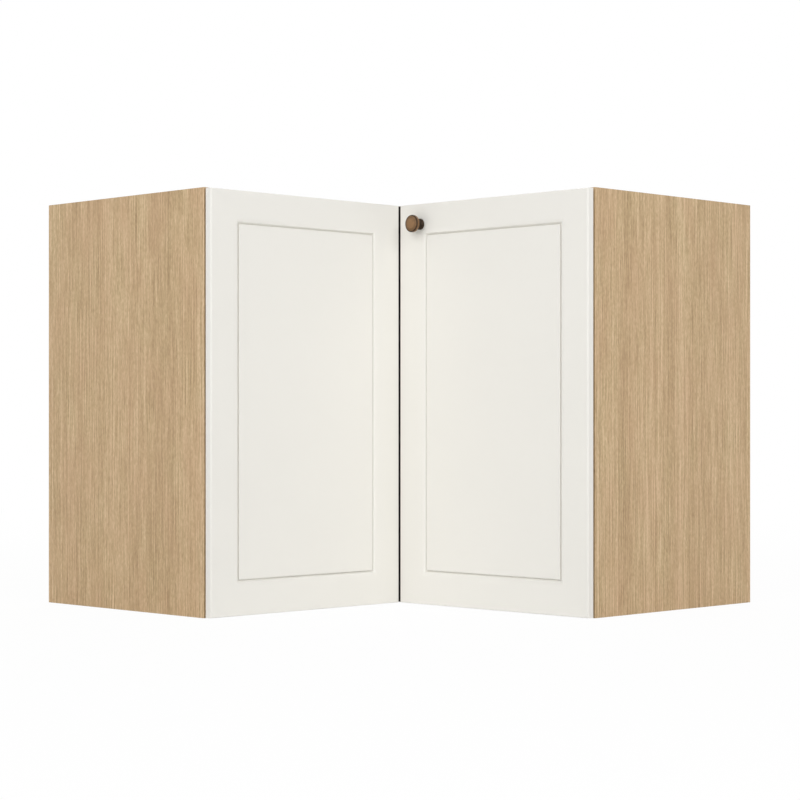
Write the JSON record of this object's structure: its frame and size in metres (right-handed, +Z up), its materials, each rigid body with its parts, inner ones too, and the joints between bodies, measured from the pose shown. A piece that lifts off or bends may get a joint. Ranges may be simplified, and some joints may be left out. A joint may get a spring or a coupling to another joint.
{
  "type": "corner base cabinet",
  "caption": "L-shaped corner base cabinet with an oak-look carcass, a shelf and a pair of white framed doors that fold together and swing open by a round knob.",
  "frame": {"origin": "centre of the square that the L-shaped plan fits in, at the underside of the bottom panel", "axes": "+Z up; +Y towards the back wall, -X towards the side wall, so the room corner is at -X +Y; the door with the knob faces -Y and the other door faces +X"},
  "size_m": [0.9, 0.9, 0.72],
  "materials": {
    "oak_laminate": "satin oak laminate",
    "back_sheet": "plain brown fibreboard",
    "door_foil": "satin off-white foil",
    "beech": "raw beech",
    "zinc": "cast zinc",
    "bumper": "clear soft pad",
    "seal_rubber": "black soft strip",
    "knob_bronze": "aged bronze",
    "dark_steel": "dark lacquer",
    "nickel_steel": "nickel plated"
  },
  "bodies": {
    "carcass": {"right_end_panel": "oak_laminate", "left_end_panel": "oak_laminate", "bottom_panel": "oak_laminate", "top_panel": "oak_laminate", "rear_back_panel": "back_sheet", "side_back_panel": "back_sheet", "rear_corner_board": "oak_laminate", "side_corner_board": "oak_laminate", "rear_fixing_rail": "oak_laminate", "side_fixing_rail": "oak_laminate", "shelf": "oak_laminate", "shelf_pins": "nickel_steel", "cam_locks": "zinc", "cam_bolts": "nickel_steel", "wood_dowels": "beech", "carcass_screws": "nickel_steel", "back_screws": "nickel_steel", "door_bumpers": "bumper", "hinge_plate_lower": "nickel_steel", "hinge_plate_middle": "nickel_steel", "hinge_plate_upper": "nickel_steel", "hinge_arm_lower": "nickel_steel", "hinge_arm_middle": "nickel_steel", "hinge_arm_upper": "nickel_steel", "hinge_plate_screws": "nickel_steel", "hinge_arm_screws": "nickel_steel"},
    "right_door": {"right_door": "door_foil", "hinge_cup_lower": "nickel_steel", "hinge_cup_middle": "nickel_steel", "hinge_cup_upper": "nickel_steel", "hinge_pin_lower": "nickel_steel", "hinge_pin_middle": "nickel_steel", "hinge_pin_upper": "nickel_steel", "hinge_cup_screws": "nickel_steel", "knob": "knob_bronze", "knob_screw": "nickel_steel", "right_fold_leaf_lower": "dark_steel", "right_fold_leaf_upper": "dark_steel", "fold_pin_lower": "dark_steel", "fold_pin_upper": "dark_steel", "right_fold_screws": "dark_steel", "corner_seal": "seal_rubber"},
    "left_door": {"left_door": "door_foil", "left_fold_leaf_lower": "dark_steel", "left_fold_leaf_upper": "dark_steel", "left_fold_screws": "dark_steel"}
  },
  "joints": [
    {"name": "door_swing", "type": "hinge", "parent": "carcass", "child": "right_door", "pos_m": [0.4422, 0.0003, 0.36], "axis": [0, 0, 1], "range_deg": [0, 95]},
    {"name": "door_fold", "type": "hinge", "parent": "right_door", "child": "left_door", "pos_m": [-0.0025, 0.0025, 0.36], "axis": [0, 0, -1], "range_deg": [0, 57]}
  ],
  "couplings": [
    {"joint": "door_fold", "follows": "door_swing", "ratio": 0.6}
  ]
}
